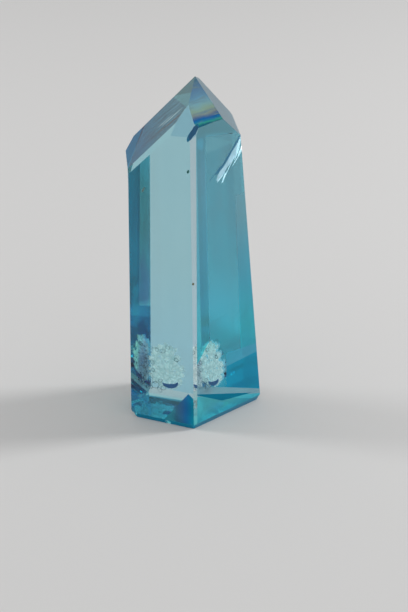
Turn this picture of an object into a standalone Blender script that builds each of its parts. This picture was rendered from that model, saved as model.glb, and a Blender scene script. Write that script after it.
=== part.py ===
"""Aqua aura quartz crystal: one six-sided quartz point with a thin metal-vapour skin.

The point is sawn flat and bevelled at its foot, so it stands upright on a table.
It is one grown piece, so it is one solid: a block cut by its natural faces, then
the growth ledges of the left tip face, the chips on its edges and the small pits.
Sizes are real millimetres; the origin is the middle of the footprint, +Z up, the
narrow bevelled edge between the two widest faces towards -Y.
"""
import math

import bmesh
import bpy
from mathutils import Matrix, Vector

MM = 0.001

# The tip, measured from the middle of the footprint
TIP_X = 0.11
TIP_Y = -0.77
TIP_Z = 70.21

# Prism walls: compass angle of the outward normal (0 = front, + to the right),
# inward lean in degrees, and reach of the wall from the centre at the floor
WALL_FRONT_LEFT = (-24.4, 0.8, 10.26)
WALL_FRONT_BEVEL = (23.3, 1.3, 10.22)
WALL_FRONT_RIGHT = (45.3, 1.05, 8.04)
WALL_RIGHT = (104.0, 5.15, 13.66)
WALL_BACK = (160.0, 1.8, 8.53)
WALL_BACK_LEFT = (-135.9, 1.25, 12.21)
WALL_LEFT = (-84.2, 0.27, 13.36)
WALL_LEFT_LOW = (-92.0, 0.18, 12.69)

# Faces of the pyramid that meet at the tip: compass angle and slope
FACE_LEFT = (-72.9, 53.1)
FACE_FRONT_RIGHT = (43.7, 49.65)
FACE_RIGHT = (87.5, 53.2)
FACE_BACK_LEFT = (-137.0, 49.5)

# Lesser faces below the tip: compass angle, slope and distance from the centre
FACE_BACK = (160.4, 56.0, 39.83)
FACE_FRONT_TRIANGLE = (-26.7, 60.3, 38.32)
FACE_SHOULDER_BAND = (-60.55, 58.9, 38.26)
FACE_CREST = (14.0, 74.0, 25.78)

# Foot bevels: how far in the floor edge is cut, and how high the bevel climbs
FOOT_FRONT_LEFT = (0.4, 1.0)
FOOT_FRONT_BEVEL = (0.5, 1.0)
FOOT_FRONT_RIGHT = (0.6, 1.2)
FOOT_LEFT = (1.2, 1.6)
FOOT_RIGHT = (0.8, 1.4)
FOOT_BACK = (1.2, 2.0)
FOOT_BACK_LEFT = (0.4, 0.8)

# The left wall overhangs its lower part like a brow: height where the overhang
# starts, and height where it reaches its full width
BROW_LOW = 50.2
BROW_HIGH = 54.0

# Growth ledges on the left tip face: distance of the ledge line from the tip, its
# turn in the face, depth at the front end, and how far back it takes to run out
LEDGE_UPPER = (5.7, 63.0, 0.06, 11.0)
LEDGE_LOWER = (6.95, 65.0, 0.07, 9.0)

# Chips: centre of the scoop and its radii, millimetres
CHIP_RIGHT_EDGE = ((9.44, -0.9, 56.0), (0.5, 0.5, 1.1))
CHIP_FOOT_FRONT = ((-5.55, -8.75, 0.3), (0.8, 0.5, 0.55))
CHIP_FOOT_LEFT = ((-12.2, -5.9, 0.9), (0.5, 0.6, 0.6))
CHIP_FOOT_RIGHT = ((13.45, 2.2, 0.5), (0.5, 0.6, 0.6))

# Small dark pits on the front left wall and on the front bevel
PIT_UPPER = ((-1.24, -10.06, 54.23), (0.25, 0.25, 0.3))
PIT_LOWER = ((-0.12, -10.57, 31.45), (0.22, 0.22, 0.3))

# The aura skin seen as one surface
SKIN_COLOR = (0.33, 0.66, 0.74, 1.0)
SKIN_ROUGHNESS = 0.03
QUARTZ_IOR = 1.544


def heading(angle, slope):
    """Outward normal of a face from its compass angle and its slope from level."""
    a = math.radians(angle)
    s = math.radians(slope)
    return Vector((math.sin(a) * math.sin(s), -math.cos(a) * math.sin(s), math.cos(s)))


def cut(solid, point, normal):
    """Saw the solid with a plane and close the sawn face."""
    parts = solid.verts[:] + solid.edges[:] + solid.faces[:]
    sawn = bmesh.ops.bisect_plane(
        solid, geom=parts, dist=1e-8, plane_co=point, plane_no=normal, clear_outer=True,
    )
    rim = [e for e in sawn["geom_cut"] if isinstance(e, bmesh.types.BMEdge)]
    if len(rim) > 2:
        bmesh.ops.contextual_create(solid, geom=rim)


def cut_wall(solid, wall):
    """One prism wall."""
    angle, lean, reach = wall
    cut(solid, heading(angle, 90.0) * reach * MM, heading(angle, 90.0 - lean))


def cut_foot(solid, wall, foot):
    """The bevel along the foot of a wall."""
    angle, lean, reach = wall
    inset, rise = foot
    flat = heading(angle, 90.0)
    low = flat * (reach - inset) * MM
    back = reach - rise * math.tan(math.radians(lean))
    high = flat * back * MM + Vector((0, 0, rise * MM))
    climb = (high - low).normalized()
    normal = (flat - climb * flat.dot(climb)).normalized()
    cut(solid, low, normal)


def grow_point():
    """The block cut down to the natural point."""
    solid = bmesh.new()
    bmesh.ops.create_cube(solid, size=0.16)
    cut(solid, Vector((0, 0, 0)), Vector((0, 0, -1)))
    tip = Vector((TIP_X, TIP_Y, TIP_Z)) * MM
    walls = (
        (WALL_FRONT_LEFT, WALL_FRONT_LEFT, FOOT_FRONT_LEFT),
        (WALL_FRONT_RIGHT, WALL_FRONT_RIGHT, FOOT_FRONT_RIGHT),
        (WALL_FRONT_BEVEL, WALL_FRONT_BEVEL, FOOT_FRONT_BEVEL),
        (WALL_RIGHT, WALL_RIGHT, FOOT_RIGHT),
        (WALL_BACK, WALL_BACK, FOOT_BACK),
        (WALL_BACK_LEFT, WALL_BACK_LEFT, FOOT_BACK_LEFT),
        (WALL_LEFT, WALL_LEFT_LOW, FOOT_LEFT),
    )
    for wall, low_wall, foot in walls:
        cut_wall(solid, wall)
        cut_foot(solid, low_wall, foot)
    for angle, slope in (FACE_LEFT, FACE_FRONT_RIGHT, FACE_RIGHT, FACE_BACK_LEFT):
        cut(solid, tip, heading(angle, slope))
    for angle, slope, distance in (FACE_BACK, FACE_FRONT_TRIANGLE, FACE_SHOULDER_BAND, FACE_CREST):
        normal = heading(angle, slope)
        cut(solid, normal * distance * MM, normal)
    bmesh.ops.remove_doubles(solid, verts=solid.verts[:], dist=2e-6)
    bmesh.ops.recalc_face_normals(solid, faces=solid.faces[:])
    mesh = bpy.data.meshes.new("crystal")
    solid.to_mesh(mesh)
    solid.free()
    crystal = bpy.data.objects.new("crystal", mesh)
    bpy.context.scene.collection.objects.link(crystal)
    return crystal


def scoop_out(crystal, tool):
    """Take the tool's shape out of the crystal."""
    bpy.ops.object.select_all(action="DESELECT")
    bpy.context.view_layer.objects.active = crystal
    crystal.select_set(True)
    bite = crystal.modifiers.new("bite", "BOOLEAN")
    bite.operation = "DIFFERENCE"
    bite.solver = "EXACT"
    bite.object = tool
    bpy.ops.object.modifier_apply(modifier=bite.name)
    bpy.data.objects.remove(tool, do_unlink=True)


def tool_object(name, solid):
    """A cutting tool from a bmesh."""
    mesh = bpy.data.meshes.new(name)
    solid.to_mesh(mesh)
    solid.free()
    tool = bpy.data.objects.new(name, mesh)
    bpy.context.scene.collection.objects.link(tool)
    return tool


def prism(profile, across, up, along, half):
    """A long prism: a profile given in two directions, drawn out along a third."""
    solid = bmesh.new()
    near = [solid.verts.new(across * a + up * b - along * half) for a, b in profile]
    far = [solid.verts.new(across * a + up * b + along * half) for a, b in profile]
    solid.faces.new(near)
    solid.faces.new(list(reversed(far)))
    for i in range(len(profile)):
        j = (i + 1) % len(profile)
        solid.faces.new((near[j], near[i], far[i], far[j]))
    bmesh.ops.recalc_face_normals(solid, faces=solid.faces[:])
    return solid


def cut_brow(crystal):
    """Set the lower part of the left wall in, under the brow."""
    angle, lean, reach = WALL_LEFT_LOW
    flat = heading(angle, 90.0)
    level = Vector((0, 0, 1)).cross(flat)
    top = reach - BROW_LOW * math.tan(math.radians(lean))
    toe = reach + 5.0 * math.tan(math.radians(lean))
    profile = [(toe, -5.0), (20.0, -5.0), (20.0, BROW_HIGH), (reach + 0.85, BROW_HIGH), (top, BROW_LOW)]
    profile = [(a * MM, b * MM) for a, b in profile]
    scoop_out(crystal, tool_object("brow", prism(profile, flat, Vector((0, 0, 1)), level, 0.03)))


def cut_ledge(crystal, ledge):
    """Step the left tip face in by a hair beyond a line, running out towards the back."""
    distance, turn, depth, run_out = ledge
    out = heading(*FACE_LEFT)
    level = Vector((0, 0, 1)).cross(out).normalized()
    uphill = out.cross(level).normalized()
    swing = Matrix.Rotation(math.radians(turn), 3, out)
    along = swing @ level
    climb = swing @ uphill
    tip = Vector((TIP_X, TIP_Y, TIP_Z)) * MM
    tilt = Matrix.Rotation(math.atan2(depth, run_out), 3, climb)
    corner = tip - climb * distance * MM - out * depth * MM
    profile = [(0.0, 0.0), (0.06, 0.0), (0.06, 0.02), (0.0, 0.02)]
    solid = prism(profile, climb, tilt @ out, tilt @ along, 0.04)
    solid.transform(Matrix.Translation(corner))
    scoop_out(crystal, tool_object("ledge", solid))


def cut_chip(crystal, chip):
    """A shallow shell-shaped chip."""
    centre, radii = chip
    solid = bmesh.new()
    bmesh.ops.create_icosphere(solid, subdivisions=2, radius=1.0)
    size = Matrix.Diagonal((radii[0] * MM, radii[1] * MM, radii[2] * MM, 1.0))
    solid.transform(Matrix.Translation(Vector(centre) * MM) @ size)
    scoop_out(crystal, tool_object("chip", solid))


def stand_on_origin(crystal):
    """Put the middle of the crystal's box over the origin, its foot on the floor."""
    xs = [v.co.x for v in crystal.data.vertices]
    ys = [v.co.y for v in crystal.data.vertices]
    zs = [v.co.z for v in crystal.data.vertices]
    shift = Vector((-(min(xs) + max(xs)) / 2.0, -(min(ys) + max(ys)) / 2.0, -min(zs)))
    crystal.data.transform(Matrix.Translation(shift))


def skin_material():
    """Clear quartz under a blue-teal metal skin."""
    skin = bpy.data.materials.new("aura_quartz")
    skin.use_nodes = True
    shader = skin.node_tree.nodes["Principled BSDF"]
    shader.inputs["Base Color"].default_value = SKIN_COLOR
    shader.inputs["Roughness"].default_value = SKIN_ROUGHNESS
    shader.inputs["IOR"].default_value = QUARTZ_IOR
    shader.inputs["Transmission Weight"].default_value = 1.0
    return skin


for old in list(bpy.data.objects):
    bpy.data.objects.remove(old, do_unlink=True)

crystal = grow_point()
cut_brow(crystal)
for ledge in (LEDGE_UPPER, LEDGE_LOWER):
    cut_ledge(crystal, ledge)
for chip in (CHIP_RIGHT_EDGE, CHIP_FOOT_FRONT, CHIP_FOOT_LEFT, CHIP_FOOT_RIGHT, PIT_UPPER, PIT_LOWER):
    cut_chip(crystal, chip)
stand_on_origin(crystal)
crystal.data.materials.append(skin_material())
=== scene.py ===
"""Aqua aura quartz point: the coated stone, what is grown inside it, and a plain studio stage.

Every length is in millimetres until it is put into a mesh. Compass angles are those of
the solid: 0 faces the front (-Y), and they grow to the right.
"""
import random
from math import atan2, cos, degrees, hypot, pi, radians, sin, tan

import bpy
from bpy.props import FloatProperty, FloatVectorProperty, IntProperty, PointerProperty
from mathutils import Matrix, Vector


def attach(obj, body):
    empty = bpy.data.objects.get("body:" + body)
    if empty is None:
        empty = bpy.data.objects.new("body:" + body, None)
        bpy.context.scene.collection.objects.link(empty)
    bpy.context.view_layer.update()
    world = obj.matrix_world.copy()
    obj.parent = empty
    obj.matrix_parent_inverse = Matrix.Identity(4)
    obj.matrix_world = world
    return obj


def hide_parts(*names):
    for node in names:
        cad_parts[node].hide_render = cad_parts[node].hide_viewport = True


bl_info = {
    "name": "Aqua aura quartz point",
    "version": (1, 0, 0),
    "blender": (4, 5, 0),
    "location": "View3D > Sidebar > Crystal",
    "description": "Builds a metal-coated quartz point with its veils, crack and stage around its solid",
    "category": "Add Mesh",
}

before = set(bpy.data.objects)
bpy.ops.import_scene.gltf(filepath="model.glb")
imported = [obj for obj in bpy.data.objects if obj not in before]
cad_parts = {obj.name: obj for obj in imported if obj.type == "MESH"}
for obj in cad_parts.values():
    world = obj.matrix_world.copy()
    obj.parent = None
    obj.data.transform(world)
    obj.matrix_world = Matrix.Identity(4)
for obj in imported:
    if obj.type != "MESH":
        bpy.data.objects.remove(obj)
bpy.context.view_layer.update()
CAD_NODE = "crystal"
BODY = "root"
MM = 0.001
UP = Vector((0, 0, 1))
# Least cosine between two normals that count as one facing
SAME_FACING = 0.9995
# How near to a cut a corner may be and still be put on it, in metres
CUT_SNAP = 1e-8
# Corners nearer than this are one, in metres: on the sawn block, and after its edges are rounded
WELD_SAWN = 2e-6
WELD_ROUNDED = 1e-6
# Seeds of what is uneven or scattered
SEEDS = {"veil": 7, "bubbles": 9, "loops": 4, "hollow": 5, "crack": 21, "lines": 11, "specks": 3}

# ---------------- the natural faces
# Prism walls: compass angle of the outward normal, inward lean, reach at the floor
WALL_FRONT_LEFT = (-24.4, 0.8, 10.26)
WALL_FRONT_BEVEL = (23.3, 1.3, 10.22)
WALL_FRONT_RIGHT = (45.3, 1.05, 8.04)
WALL_RIGHT = (104.0, 5.15, 13.66)
WALL_BACK = (160.0, 1.8, 8.53)
WALL_BACK_LEFT = (-135.9, 1.25, 12.21)
WALL_LEFT = (-84.2, 0.27, 13.36)
WALL_LEFT_LOW = (-92.0, 0.18, 12.69)
WALLS = (
    WALL_FRONT_LEFT, WALL_FRONT_RIGHT, WALL_FRONT_BEVEL, WALL_RIGHT, WALL_BACK, WALL_BACK_LEFT, WALL_LEFT,
)
TIP = (0.11, -0.77, 70.21)
# Faces through the tip: compass angle and slope
FACE_LEFT = (-72.9, 53.1)
FACE_FRONT_RIGHT = (43.7, 49.65)
FACE_RIGHT = (87.5, 53.2)
FACE_BACK_LEFT = (-137.0, 49.5)
# Lesser faces: compass angle, slope and distance from the centre
FACE_BACK = (160.4, 56.0, 39.83)
FACE_FRONT_TRIANGLE = (-26.7, 60.3, 38.32)
FACE_SHOULDER_BAND = (-60.55, 58.9, 38.26)
FACE_CREST = (14.0, 74.0, 25.78)

# Foot bevels: wall, inset at the floor, height
FOOT_BEVELS = (
    (WALL_FRONT_LEFT, 0.4, 1.0),
    (WALL_FRONT_RIGHT, 0.6, 1.2),
    (WALL_FRONT_BEVEL, 0.5, 1.0),
    (WALL_RIGHT, 0.8, 1.4),
    (WALL_BACK, 1.2, 2.0),
    (WALL_BACK_LEFT, 0.4, 0.8),
    (WALL_LEFT_LOW, 1.2, 1.6),
)
# The left wall steps out over its lower part: between these heights, by this much
BROW_LOW = 50.2
BROW_HIGH = 54.0
BROW_STEP = 0.85
# Growth ledges on the left tip face: distance from the tip, turn, depth, run-out
LEDGES = ((5.7, 63.0, 0.06, 11.0), (6.95, 65.0, 0.07, 9.0))
# Chips and pits: centre and radii
CHIPS = (
    ((9.44, -0.9, 56.0), (0.5, 0.5, 1.1)),
    ((-5.55, -8.75, 0.3), (0.8, 0.5, 0.55)),
    ((-12.2, -5.9, 0.9), (0.5, 0.6, 0.6)),
    ((13.45, 2.2, 0.5), (0.5, 0.6, 0.6)),
    ((-1.24, -10.06, 54.23), (0.25, 0.25, 0.3)),
    ((-0.12, -10.57, 31.45), (0.22, 0.22, 0.3)),
)


# ---------------- helpers
def facing(angle, slope):
    """Outward normal of a face from its compass angle and its slope from level."""
    a, s = radians(angle), radians(slope)
    return Vector((sin(a) * sin(s), -cos(a) * sin(s), cos(s)))


def wall_look(wall):
    """Compass angle and slope of a wall."""
    return wall[0], 90 - wall[1]


def wall_point(wall, across, height, depth):
    """A point in the stone by its place on a wall: across, up, and how deep behind it."""
    angle, lean, reach = wall
    flat = facing(angle, 90)
    set_in = height * tan(radians(lean)) + depth
    return (flat * (reach - set_in) + UP.cross(flat) * across + UP * height) * MM


def face_point(look, distance, x, z, lift=0.0):
    """A point on a tip face, by its place seen from the front."""
    out = facing(*look)
    y = (distance - out.x * x - out.z * z) / out.y
    return (Vector((x, y, z)) + out * lift) * MM


def laid(wall, place, roll=0.0, size=(1.0, 1.0, 1.0)):
    """A matrix that lays a thing flat in a wall, at a place across, up and deep, rolled on the wall."""
    out = facing(*wall_look(wall))
    level = UP.cross(out).normalized()
    turn = Matrix((level, out.cross(level), out)).transposed().to_4x4() @ Matrix.Rotation(roll, 4, "Z")
    return Matrix.Translation(wall_point(wall, *place)) @ turn @ Matrix.Diagonal((*size, 1.0))


def deselect():
    if bpy.context.object and bpy.context.object.mode != "OBJECT":
        bpy.ops.object.mode_set(mode="OBJECT")
    bpy.ops.object.select_all(action="DESELECT")


def only(piece):
    deselect()
    bpy.context.view_layer.objects.active = piece
    piece.select_set(True)


def edit(piece):
    only(piece)
    bpy.ops.object.mode_set(mode="EDIT")
    bpy.ops.mesh.select_all(action="SELECT")


def done_editing():
    bpy.ops.object.mode_set(mode="OBJECT")


def weld(near):
    """Merge corners and turn the faces outwards; in edit mode."""
    bpy.ops.mesh.select_all(action="SELECT")
    bpy.ops.mesh.remove_doubles(threshold=near)
    bpy.ops.mesh.normals_make_consistent(inside=False)
    done_editing()


def point_out(piece):
    """Turn the faces of a closed piece outwards."""
    edit(piece)
    bpy.ops.mesh.normals_make_consistent(inside=False)
    done_editing()


def saw(point, normal):
    """Cut away what lies beyond a plane and close the cut; in edit mode."""
    bpy.ops.mesh.select_all(action="SELECT")
    bpy.ops.mesh.bisect(plane_co=point, plane_no=normal, use_fill=True, clear_outer=True, threshold=CUT_SNAP)


def bite(piece, tool):
    """Take the tool's shape out of the piece."""
    only(piece)
    cut = piece.modifiers.new("bite", "BOOLEAN")
    cut.operation = "DIFFERENCE"
    cut.solver = "EXACT"
    cut.object = tool
    bpy.ops.object.modifier_apply(modifier=cut.name)
    bpy.data.objects.remove(tool, do_unlink=True)


def settle(piece):
    """Put the piece's place, turn and size into its mesh."""
    only(piece)
    bpy.ops.object.transform_apply(location=True, rotation=True, scale=True)


def join(pieces, name):
    """Make one piece of several."""
    deselect()
    for p in pieces:
        p.select_set(True)
    bpy.context.view_layer.objects.active = pieces[0]
    if len(pieces) > 1:
        bpy.ops.object.join()
    whole = bpy.context.object
    whole.name = whole.data.name = name
    return whole


def uneven_ball(radius, cuts, rough, seed):
    """A ball with its corners pushed about."""
    deselect()
    bpy.ops.mesh.primitive_ico_sphere_add(subdivisions=cuts, radius=radius, location=(0, 0, 0))
    ball = bpy.context.object
    edit(ball)
    bpy.ops.transform.vertex_random(offset=rough, uniform=1.0, normal=0.0, seed=seed)
    done_editing()
    return ball


def lens(start, end, width, thick, out, seed, rough):
    """A thin lens from one point to another, flat against a direction, with an uneven rim."""
    ahead = (end - start).normalized()
    side = out.cross(ahead).normalized()
    body = uneven_ball(0.5, 3, rough, seed)
    turn = Matrix((ahead, side, ahead.cross(side))).transposed().to_4x4()
    size = Matrix.Diagonal(((end - start).length, width, thick, 1.0))
    body.matrix_world = Matrix.Translation((start + end) * 0.5) @ turn @ size
    settle(body)
    return body


def grains(places, seed, rough, cuts):
    """One uneven ball, copied to every place; each place is a matrix in metres."""
    model = uneven_ball(MM, cuts, rough * MM, seed)
    copies = []
    for place in places:
        only(model)
        bpy.ops.object.duplicate()
        copy = bpy.context.object
        copy.matrix_world = place
        settle(copy)
        copies.append(copy)
    bpy.data.objects.remove(model, do_unlink=True)
    return copies


def keep(piece, material=None, smooth=None):
    """Finish a piece: material, smoothing, and its ride on the body."""
    if material is not None:
        piece.data.materials.clear()
        piece.data.materials.append(material)
    if smooth is not None:
        only(piece)
        bpy.ops.object.shade_smooth_by_angle(angle=radians(smooth))
    settle(piece)
    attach(piece, BODY)
    return piece


# ---------------- materials
def fill(node, **values):
    """Put constants on a node's inputs; an underscore stands for a space in a name."""
    for key, value in values.items():
        node.inputs[key.replace("_", " ")].default_value = value


def add(t, kind, operation=None, **values):
    """Add a shader node, with constants on its inputs."""
    node = t.nodes.new("ShaderNode" + kind)
    if operation:
        node.operation = operation
    fill(node, **values)
    return node


def object_place(t):
    return add(t, "TexCoord").outputs["Object"]


def new_material(name):
    m = bpy.data.materials.new(name)
    m.use_nodes = True
    return m, m.node_tree, m.node_tree.nodes["Principled BSDF"]


def clear_material(name, ior, color=(1, 1, 1)):
    """A clear, smooth body of one colour."""
    m, t, b = new_material(name)
    fill(b, Base_Color=(*color, 1), Roughness=0.0, IOR=ior, Transmission_Weight=1.0)
    return m, t, b


def painted(m, color):
    """The material, with its base colour from a socket."""
    m.node_tree.links.new(color, m.node_tree.nodes["Principled BSDF"].inputs["Base Color"])
    return m


def start_mask(name, vectors, numbers):
    """A new node group that will put out one mask, and the values that it is given."""
    g = bpy.data.node_groups.new(name, "ShaderNodeTree")
    for key in vectors:
        g.interface.new_socket(name=key, in_out="INPUT", socket_type="NodeSocketVector")
    for key, value in numbers:
        s = g.interface.new_socket(name=key, in_out="INPUT", socket_type="NodeSocketFloat")
        s.default_value = value
    g.interface.new_socket(name="Mask", in_out="OUTPUT", socket_type="NodeSocketFloat")
    return g, g.nodes.new("NodeGroupInput").outputs


def end_mask(g, given, place, noise):
    """The noise at a place, sharpened between the group's Low and High, is its mask."""
    sharp = add(g, "MapRange")
    sharp.interpolation_type = "SMOOTHSTEP"
    g.links.new(place, noise.inputs["Vector"])
    g.links.new(noise.outputs["Fac"], sharp.inputs["Value"])
    g.links.new(given["Low"], sharp.inputs["From Min"])
    g.links.new(given["High"], sharp.inputs["From Max"])
    g.links.new(sharp.outputs[0], g.nodes.new("NodeGroupOutput").inputs["Mask"])
    return g


def mottle_group():
    """Cloudy mask on object coordinates, stretched along the height."""
    g = bpy.data.node_groups.get("aura_mottle")
    if g:
        return g
    numbers = (("Scale", 120.0), ("Stretch", 0.3), ("Low", 0.4), ("High", 0.65))
    g, given = start_mask("aura_mottle", (), numbers)
    axes = add(g, "SeparateXYZ")
    low = add(g, "Math", "MULTIPLY")
    back = add(g, "CombineXYZ")
    noise = add(g, "TexNoise", Detail=3.0)
    for source, target in (
        (object_place(g), axes.inputs[0]), (axes.outputs["Z"], low.inputs[0]),
        (given["Stretch"], low.inputs[1]), (low.outputs[0], back.inputs["Z"]),
        (axes.outputs["X"], back.inputs["X"]), (axes.outputs["Y"], back.inputs["Y"]),
        (given["Scale"], noise.inputs["Scale"]),
    ):
        g.links.new(source, target)
    return end_mask(g, given, back.outputs[0], noise)


def streak_group():
    """Mask of fine lines that run along one direction, on object coordinates."""
    g = bpy.data.node_groups.get("growth_streaks")
    if g:
        return g
    g, given = start_mask("growth_streaks", ("Across", "Along"), (("Low", 0.4), ("High", 0.65)))
    where = object_place(g)
    flat = add(g, "CombineXYZ")
    for name, axis in (("Across", "X"), ("Along", "Y")):
        dot = add(g, "VectorMath", "DOT_PRODUCT")
        g.links.new(where, dot.inputs[0])
        g.links.new(given[name], dot.inputs[1])
        g.links.new(dot.outputs["Value"], flat.inputs[axis])
    return end_mask(g, given, flat.outputs[0], add(g, "TexNoise", Scale=1.0, Detail=3.0))


def place_mask(t, group, **values):
    """Place a mask's node group in a material, with its own values."""
    node = add(t, "Group")
    node.node_tree = group
    fill(node, **values)
    return node.outputs["Mask"]


def mottle(t, scale, stretch, low, high):
    return place_mask(t, mottle_group(), Scale=scale, Stretch=stretch, Low=low, High=high)


def streaks(t, across, lengthwise, fine, coarse, low, high):
    """Streak mask: line width 1/fine and length 1/coarse, in millimetres."""
    across = across.normalized() * fine / MM
    lengthwise = lengthwise.normalized() * coarse / MM
    return place_mask(t, streak_group(), Across=across, Along=lengthwise, Low=low, High=high)


def mix_color(t, fac, a, b):
    """Mix two colours; each is a colour or a socket."""
    n = add(t, "Mix")
    n.data_type = "RGBA"
    t.links.new(fac, n.inputs["Factor"])
    for value, socket in ((a, n.inputs[6]), (b, n.inputs[7])):
        if isinstance(value, bpy.types.NodeSocket):
            t.links.new(value, socket)
        else:
            socket.default_value = (*value, 1.0)
    return n.outputs[2]


def span(t, source, low, high, smooth=False, **ends):
    """A value stretched from its two limits to 0 and 1, or to the ends given."""
    n = add(t, "MapRange", From_Min=low, From_Max=high, **ends)
    n.interpolation_type = "SMOOTHSTEP" if smooth else "LINEAR"
    t.links.new(source, n.inputs["Value"])
    return n.outputs[0]


def ramp(t, source, low, high, stops):
    """Colours along a value between two limits; a stop is its place from 0 to 1, red, green and blue."""
    n = add(t, "ValToRGB")
    t.links.new(span(t, source, low, high), n.inputs["Fac"])
    e = n.color_ramp.elements
    while len(e) < len(stops):
        e.new(0.5)
    for element, (where, *color) in zip(e, stops):
        element.position = where
        element.color = (*color, 1.0)
    return n.outputs["Color"]


def along(t, direction):
    """Distance along a direction, in millimetres, on object coordinates."""
    dot = add(t, "VectorMath", "DOT_PRODUCT")
    dot.inputs[1].default_value = [c / MM for c in direction]
    t.links.new(object_place(t), dot.inputs[0])
    return dot.outputs["Value"]


def quartz_material(name):
    """Clear quartz: plain transmission, a polished face and a faint body colour."""
    stone = bpy.context.scene.crystal_stone
    m, t, b = clear_material(name, stone.refraction)
    deep = add(t, "VolumeAbsorption", Color=(*stone.body_color, 1), Density=stone.body_density)
    t.links.new(deep.outputs[0], t.nodes["Material Output"].inputs["Volume"])
    return m, t, b


# Heights between which the colour stops of walls run
FOOT_TO_BROW = (0.0, 60.0)


def skin_material(name, tint, metal, roughness=0.1, way=UP, limits=FOOT_TO_BROW):
    """Quartz under a skin of metal, a heavier coating in places and a painted sheen in others: part mirrors,
    part lets coloured light through.

    The tint is one colour, or colour stops along a way.
    """
    m, t, b = quartz_material(name)
    fill(b, Metallic=metal, Roughness=roughness)
    if isinstance(tint[0], tuple):
        return painted(m, ramp(t, along(t, way), *limits, tint))
    fill(b, Base_Color=(*tint, 1))
    return m


# The way that the growth lines run on the left tip face
GROWTH_RUN = Vector((3.85, -1.85, 4.17))
# The left tip face from its low end to the tip, by x, and between its streaks and on them
LEFT_LIMITS = (-13.0, 0.5)
LEFT_CALM = (
    (0.0, 0.008, 0.2, 0.36), (0.18, 0.012, 0.18, 0.38), (0.39, 0.06, 0.24, 0.38), (0.6, 0.18, 0.34, 0.42),
    (0.75, 0.3, 0.42, 0.46), (0.87, 0.2, 0.36, 0.3), (1.0, 0.2, 0.3, 0.3),
)
LEFT_DEEP = (
    (0.0, 0.02, 0.12, 0.26), (0.2, 0.04, 0.12, 0.28), (0.4, 0.1, 0.15, 0.2), (0.6, 0.12, 0.2, 0.25),
    (0.78, 0.17, 0.26, 0.3), (1.0, 0.1, 0.2, 0.2),
)
# The right tip face from its foot to the tip, by height: its interference colours, brightened as a painted
# reflection of the right-hand lamp, which shows in no mirror
RIGHT_LIMITS = (62.9, 70.7)
RIGHT_WOBBLE = 0.9
RIGHT_BANDS_WITH_PAINTED_REFLECTION = (
    (0.0, 0.01, 0.24, 0.34), (0.05, 0.01, 0.28, 0.4), (0.085, 0.08, 0.74, 0.56), (0.125, 0.003, 0.42, 0.78),
    (0.17, 0.003, 0.26, 0.82), (0.21, 0.18, 0.33, 0.62), (0.26, 0.5, 0.62, 0.58), (0.34, 0.56, 0.84, 0.64),
    (0.47, 0.44, 0.82, 0.92), (0.6, 0.3, 0.66, 0.95), (0.78, 0.24, 0.48, 0.78), (1.0, 0.14, 0.34, 0.42),
)
RIGHT_LINES = (0.36, 0.58, 0.66)


def skin_left():
    """The left tip face: blue-grey at its low end, paler towards the tip, finely streaked."""
    m, t, b = quartz_material("skin_left")
    fill(b, Coat_Weight=0.5)
    lines = streaks(t, facing(*FACE_LEFT).cross(GROWTH_RUN), GROWTH_RUN, 1.6, 0.12, 0.42, 0.62)
    far = along(t, (1, 0, 0))
    calm, deep = (ramp(t, far, *LEFT_LIMITS, stops) for stops in (LEFT_CALM, LEFT_DEEP))
    return painted(m, mix_color(t, lines, calm, deep))


def skin_front_right():
    """The right tip face: interference colours in bands, blue low down, then violet, olive and lilac, with a
    painted reflection of the right-hand lamp in their brightness.
    """
    m, t, b = quartz_material("skin_front_right")
    fill(b, Metallic=0.7, Roughness=0.2)
    wobble = add(t, "TexNoise", Scale=300.0)
    t.links.new(object_place(t), wobble.inputs["Vector"])
    shift = add(t, "Math", "MULTIPLY_ADD")
    shift.inputs[1].default_value = RIGHT_WOBBLE
    t.links.new(wobble.outputs["Fac"], shift.inputs[0])
    t.links.new(along(t, UP), shift.inputs[2])
    bands = ramp(t, shift.outputs[0], *RIGHT_LIMITS, RIGHT_BANDS_WITH_PAINTED_REFLECTION)
    lines = streaks(t, UP, UP.cross(facing(*FACE_FRONT_RIGHT)), 2.2, 0.2, 0.5, 0.7)
    return painted(m, mix_color(t, lines, bands, RIGHT_LINES))


# Plain skins: colour, share of metal, roughness
SKIN_RIGHT = ((0.54, 0.84, 1.0), 0.71, 0.15)
SKIN_FOOT = ((0.004, 0.34, 0.55), 0.85, 0.2)

ON_RIGHT = wall_look(WALL_FRONT_RIGHT)
ON_LEFT = wall_look(WALL_FRONT_LEFT)
ON_BEVEL = wall_look(WALL_FRONT_BEVEL)
LEFT_REACH = Vector(TIP).dot(facing(*FACE_LEFT))
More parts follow.
